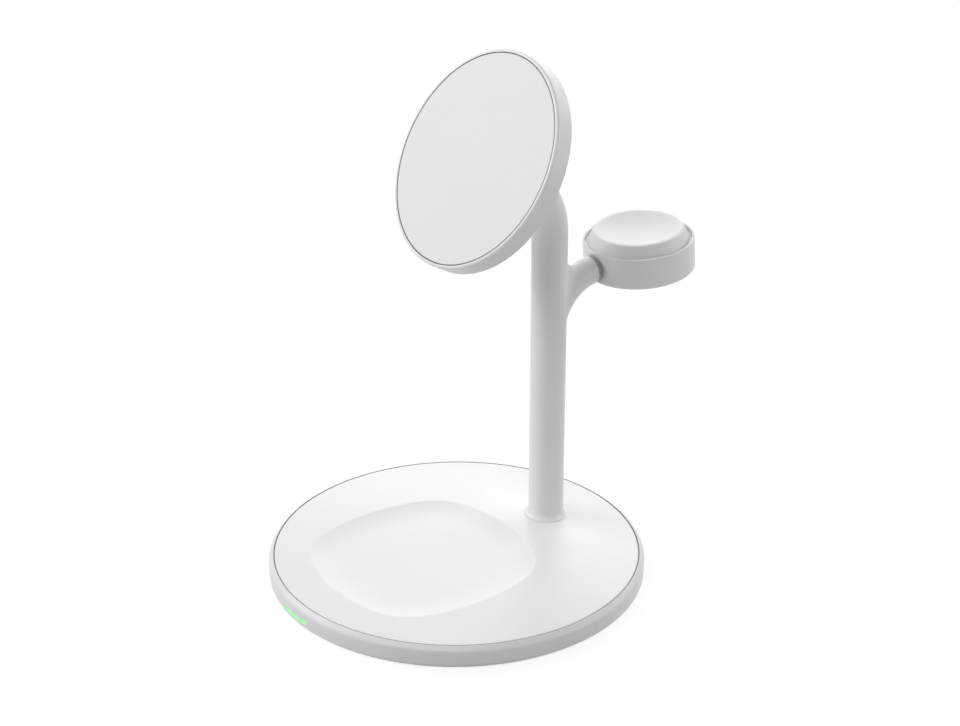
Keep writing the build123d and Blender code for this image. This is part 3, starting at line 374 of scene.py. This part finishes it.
# Seam shade ring
# A thin dark grey ring set into the gap between the lid and the rim, just below their
# tops. Its dark grey is painted shade, which shows the shadow in the gap as a fine dark line.
seam_gap = 0.3 * mm
seam_depth = 1.0 * mm
shade_ring_slack = 0.015 * mm
shade_ring_sunk = 0.02 * mm
shade_ring_corner = 0.03 * mm
shade_ring_steps = 256
lid_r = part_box("top_cover")[1].x
rim_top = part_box("base_housing")[1].z

# Dark grey painted shade for the gaps: these rings darken a seam as its shadow would.
painted_gap_shade = new_finish("painted_gap_shade")
tint(painted_gap_shade, patches(painted_gap_shade, 700, 3), (0.14, 0.14, 0.145), (0.18, 0.18, 0.185))
gloss(painted_gap_shade, patches(painted_gap_shade, 500, 2), 0.6, 0.75)
relief(painted_gap_shade, patches(painted_gap_shade, 3000, 1), 0.008 * mm)


def gap_shade_ring(name, inner_r, gap, depth, place, body):
    """A thin dark ring of painted shade that fills a round gap, set with the middle of its top at a place."""
    inside, outside = inner_r + shade_ring_slack, inner_r + gap - shade_ring_slack
    bottom, top = shade_ring_slack - depth, -shade_ring_sunk
    shape = turned([
        (inside, bottom),
        (inside, top - shade_ring_corner),
        (inside + shade_ring_corner, top),
        (outside - shade_ring_corner, top),
        (outside, top - shade_ring_corner),
        (outside, bottom),
        (inside, bottom),
    ], shade_ring_steps)
    bmesh.ops.transform(shape, matrix=place, verts=shape.verts)
    finished_piece(name, shape, painted_gap_shade, body)


gap_shade_ring("lid_gap_shade", lid_r, seam_gap, seam_depth, Matrix.Translation((0, 0, rim_top)), "base")

# Stand post
# One hollow casting: post, flared foot, bent neck, branching arm and hinge tongue. It is
# sprayed white, which leaves a faint orange peel, and clamped to the lid by a nut.
post_white = moulded_plastic("post_white", (0.783, 0.79, 0.816), (0.798, 0.805, 0.831), 0.36, 0.42,
                             1.6 * mm, 0.004 * mm)
dress(post_white, "stand_post")
dress(zinc_steel, "post_nut")

# Leads
# Two round leads with a pale soft sheath, one for the phone pad and one for the watch cup.
# They run up inside the post, the neck and the arm.
lead_sheath = new_finish("lead_sheath")
tint(lead_sheath, patches(lead_sheath, 300, 2), (0.66, 0.66, 0.66), (0.72, 0.72, 0.72))
gloss(lead_sheath, patches(lead_sheath, 600, 2), 0.45, 0.6)
relief(lead_sheath, patches(lead_sheath, 2500, 1), 0.006 * mm)
dress(lead_sheath, "pad_lead", "watch_lead")

# Tilt hinge
# A painted bracket on the back of the phone pad, with two lugs round the neck's tongue. A steel
# pin with chamfered ends runs through them, and spring washers hold the tilt.
dress(post_white, "tilt_bracket")
dress(zinc_steel, "bracket_screws", "friction_washers")
pin_low, pin_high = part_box("tilt_pin")
pin_middle = (pin_low + pin_high) / 2
pin_r = (pin_high.z - pin_low.z) / 2
pin_half = (pin_high.x - pin_low.x) / 2
pin_chamfer = 0.3 * mm
pin_dimple_r = 0.55 * mm
pin_dimple_depth = 0.35 * mm
pin_steps = 48
pin_shape = turned([
    (0, pin_dimple_depth - pin_half),
    (pin_dimple_r, -pin_half),
    (pin_r - pin_chamfer, -pin_half),
    (pin_r, pin_chamfer - pin_half),
    (pin_r, pin_half - pin_chamfer),
    (pin_r - pin_chamfer, pin_half),
    (pin_dimple_r, pin_half),
    (0, pin_half - pin_dimple_depth),
], pin_steps)
bmesh.ops.transform(pin_shape, matrix=Matrix.Translation(pin_middle) @ Matrix.Rotation(pi / 2, 4, "Y"),
                    verts=pin_shape.verts)
pin_steel = plated_steel("pin_steel", (0.6, 0.6, 0.61), (0.7, 0.7, 0.72), 0.22, 0.34)
pin = finished_piece("tilt_pin_turned", pin_shape, pin_steel, "phone_pad")
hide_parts("tilt_pin")

# Phone pad
# A shallow white moulded cup behind a flat face with a soft matt coat. Between them lie the
# magnet ring on its steel yoke, a coil on ferrite and a small board.
mounts = {mount["name"]: mount for mount in frame["record"]["mounts"]}
pad_forwards = Vector(mounts["phone_face"]["axis"])
dress(shell_white, "phone_pad_shell")

face_grey = moulded_plastic("face_grey", (0.758, 0.771, 0.788), (0.771, 0.784, 0.801), 0.48, 0.54,
                            0.22 * mm, 0.002 * mm)
dress(face_grey, "phone_pad_face")
face_gap = 0.3 * mm
face_depth = 1.0 * mm
face_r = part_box("phone_pad_face")[1].x
face_turn = pad_forwards.to_track_quat("Z", "Y").to_matrix().to_4x4()
face_place = Matrix.Translation(mounts["phone_face"]["pos_m"]) @ face_turn
# A thin dark ring in the gap round the face is painted shade, as the shadow in that gap.
gap_shade_ring("face_gap_shade", face_r, face_gap, face_depth, face_place, "phone_pad")

magnet_nickel = plated_steel("magnet_nickel", (0.64, 0.63, 0.6), (0.74, 0.73, 0.7), 0.16, 0.28)
dress(magnet_nickel, "ring_magnets")
dress(zinc_steel, "magnet_yoke")
dress(ferrite_black, "phone_ferrite")
phone_coil_hole_r = 9.0 * mm
wound_coil("phone_winding", "phone_coil", phone_coil_hole_r, pad_forwards, "phone_pad")
pad_board_lean = radians(60)
leaning_board = board_green("leaning_board", pad_board_lean)
dress(leaning_board, "pad_board")

# Swivel of the watch cup
# A hollow brass pivot pressed into the arm and running in the cup's boss, kept by a washer and
# a clip. A rubber collar fills the gap between the arm and the cup; its dark grey is painted
# shade, for the shadow in that gap.
pivot_brass = new_finish("pivot_brass", metal=1.0)
tint(pivot_brass, patches(pivot_brass, 900, 3), (0.62, 0.46, 0.2), (0.74, 0.58, 0.28))
gloss(pivot_brass, patches(pivot_brass, 1200, 2), 0.25, 0.38)
dress(pivot_brass, "swivel_pivot")

# Dark grey painted shade: the collar's colour stands for the shadow between the arm and the cup.
collar_rubber = new_finish("collar_rubber")
tint(collar_rubber, patches(collar_rubber, 700, 3), (0.34, 0.34, 0.35), (0.4, 0.4, 0.41))
gloss(collar_rubber, patches(collar_rubber, 500, 2), 0.55, 0.7)
relief(collar_rubber, patches(collar_rubber, 3000, 1), 0.01 * mm)
dress(collar_rubber, "swivel_collar")
dress(zinc_steel, "swivel_washer", "swivel_clip")

# Watch cup
# A small white moulded cup on the end of the arm, closed by a smooth coned cap with a hollow
# dish. Under the dish lie a coil on ferrite, a magnet and a small board.
watch_up = Vector(mounts["watch_dish"]["axis"])
dress(shell_white, "watch_cup")
cap_white = moulded_plastic("cap_white", (0.81, 0.805, 0.826), (0.825, 0.82, 0.841), 0.43, 0.47,
                            0.25 * mm, 0.001 * mm)
dress(cap_white, "watch_cap")
dress(magnet_nickel, "watch_magnet")
dress(ferrite_black, "watch_ferrite")
watch_coil_hole_r = 4.2 * mm
wound_coil("watch_winding", "watch_coil", watch_coil_hole_r, watch_up, "watch_head")
dress(flat_board, "watch_board")

# Studio floor
# A plain pale floor. The camera and shiny surfaces see it near white, with the shade that the
# stand leaves on it.
floor_half = 3.0
floor_shape = bmesh.new()
bmesh.ops.create_grid(floor_shape, x_segments=1, y_segments=1, size=floor_half)
floor_mesh = bpy.data.meshes.new("floor")
floor_shape.to_mesh(floor_mesh)
floor_shape.free()
floor = bpy.data.objects.new("floor", floor_mesh)
bpy.context.scene.collection.objects.link(floor)


def seen_directly(tree):
    """1 for what the camera, a reflection or a clear material sees, and 0 for light on its way."""
    rays = tree.nodes.new("ShaderNodeLightPath")
    mirrored = tree.nodes.new("ShaderNodeMath")
    mirrored.use_clamp = True
    tree.links.new(rays.outputs["Is Camera Ray"], mirrored.inputs[0])
    tree.links.new(rays.outputs["Is Glossy Ray"], mirrored.inputs[1])
    through = tree.nodes.new("ShaderNodeMath")
    through.use_clamp = True
    tree.links.new(mirrored.outputs["Value"], through.inputs[0])
    tree.links.new(rays.outputs["Is Transmission Ray"], through.inputs[1])
    return through.outputs["Value"]


floor_paint = new_finish("floor_paint")
floor_tree = floor_paint.node_tree
floor_shader = floor_tree.nodes["Principled BSDF"]
floor_shader.inputs["Roughness"].default_value = 0.9
floor_shader.inputs["Specular IOR Level"].default_value = 0.0
floor_shader.inputs["Emission Color"].default_value = (1, 1, 1, 1)
seen = seen_directly(floor_tree)
floor_shade = floor_tree.nodes.new("ShaderNodeMapRange")
floor_shade.inputs["To Min"].default_value = 0.7
floor_shade.inputs["To Max"].default_value = 0.22
floor_tree.links.new(seen, floor_shade.inputs["Value"])
floor_tree.links.new(floor_shade.outputs["Result"], floor_shader.inputs["Base Color"])
floor_glow = floor_tree.nodes.new("ShaderNodeMapRange")
floor_glow.inputs["To Max"].default_value = 0.84
floor_tree.links.new(seen, floor_glow.inputs["Value"])
floor_tree.links.new(floor_glow.outputs["Result"], floor_shader.inputs["Emission Strength"])
floor.data.materials.append(floor_paint)

# Studio lamps
# Eight like softboxes at one distance round the stand, named as the camera sees them. The
# strongest stands on the left, two behind give the lid its sheen, the rest keep the walls light.
lamp_distance = 1.2
lamp_width = 0.8
lamp_height = 0.6
lamp_target = Vector((0, 0, 0.06))


def softbox(name, azimuth, elevation, watts):
    """A soft lamp at an angle round the stand and above the floor, aimed at the middle of the stand."""
    turn, rise = radians(azimuth), radians(elevation)
    way = Vector((sin(turn) * cos(rise), -cos(turn) * cos(rise), sin(rise)))
    lamp = bpy.data.lights.new(name, "AREA")
    lamp.shape = "RECTANGLE"
    lamp.size, lamp.size_y = lamp_width, lamp_height
    lamp.energy = watts
    stand = bpy.data.objects.new(name, lamp)
    stand.location = lamp_target + way * lamp_distance
    stand.rotation_euler = (-way).to_track_quat("-Z", "Y").to_euler()
    bpy.context.scene.collection.objects.link(stand)


softbox("left_box", 315, 32, 6.5)
softbox("front_box", 0, 32, 2.9)
softbox("camera_box", 45, 55, 3.8)
softbox("low_right_box", 135, 12, 3.3)
softbox("right_box", 180, 32, 4.4)
softbox("low_back_box", 225, 12, 2.0)
softbox("back_box", 225, 32, 2.2)
softbox("high_left_box", 270, 55, 1.9)

world = bpy.data.worlds.new("studio")
world.use_nodes = True
sky = world.node_tree.nodes["Background"]
sky.inputs["Color"].default_value = (1, 1, 1, 1)
world.node_tree.links.new(seen_directly(world.node_tree), sky.inputs["Strength"])
bpy.context.scene.world = world

# Camera
# It looks down on the stand from the front right, through a long lens. Nothing is out of focus.
camera_place = Vector((0.43335, -0.29941, 0.31030))
camera_aim = Vector((0.00476, 0.00481, 0.06503))
lens_length = 79.53
sensor_width = 36.0
nearest_seen = 0.01
lens = bpy.data.cameras.new("camera")
lens.lens = lens_length
lens.sensor_width = sensor_width
lens.clip_start = nearest_seen
camera = bpy.data.objects.new("camera", lens)
camera.location = camera_place
camera.rotation_euler = (camera_aim - camera_place).to_track_quat("-Z", "Y").to_euler()
bpy.context.scene.collection.objects.link(camera)
bpy.context.scene.camera = camera
bpy.context.scene.view_settings.view_transform = "Standard"
